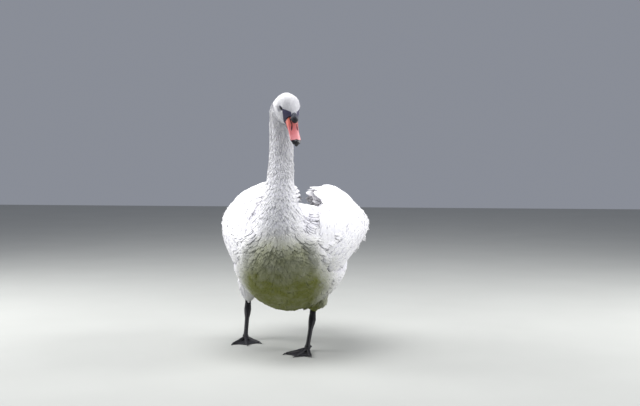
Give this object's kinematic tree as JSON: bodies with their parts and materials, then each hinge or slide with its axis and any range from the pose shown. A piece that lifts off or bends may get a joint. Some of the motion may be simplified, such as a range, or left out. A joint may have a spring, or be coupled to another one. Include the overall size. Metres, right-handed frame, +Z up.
{
  "type": "mute swan",
  "caption": "Life-size still model of an adult mute swan walking, wings half arched over the back, long neck upright and bill bowed to one side.",
  "frame": {"origin": "on the floor, under the middle of the bird's bounding box", "axes": "+Z up, the breast faces -Y, the swan's left side is +X"},
  "size_m": [0.5052, 0.806, 0.8637],
  "materials": {
    "plumage": "matte white contour feathers",
    "flight_feathers": "satin white flight and tail feathers",
    "bill_red_horn": "satin orange-red horn",
    "bill_black_horn": "satin black horn",
    "knob_skin": "soft black skin",
    "eye": "wet dark brown eye",
    "leg_skin": "scaly near-black skin",
    "claw_horn": "worn black horn"
  },
  "bodies": {
    "root": {"trunk": "plumage", "neck_lower": "plumage", "neck_upper": "plumage", "head": "plumage", "bill_upper": "bill_red_horn", "bill_lower": "bill_black_horn", "bill_nail": "bill_black_horn", "bill_knob": "knob_skin", "eye_left": "eye", "eye_right": "eye", "wing_left": "plumage", "wing_right": "plumage", "primaries_left": "flight_feathers", "primaries_right": "flight_feathers", "tail": "flight_feathers", "thigh_left": "plumage", "thigh_right": "plumage", "shank_left": "leg_skin", "shank_right": "leg_skin", "foot_left": "leg_skin", "foot_right": "leg_skin", "claw_left_inner": "claw_horn", "claw_left_middle": "claw_horn", "claw_left_outer": "claw_horn", "claw_right_inner": "claw_horn", "claw_right_middle": "claw_horn", "claw_right_outer": "claw_horn"}
  },
  "joints": []
}
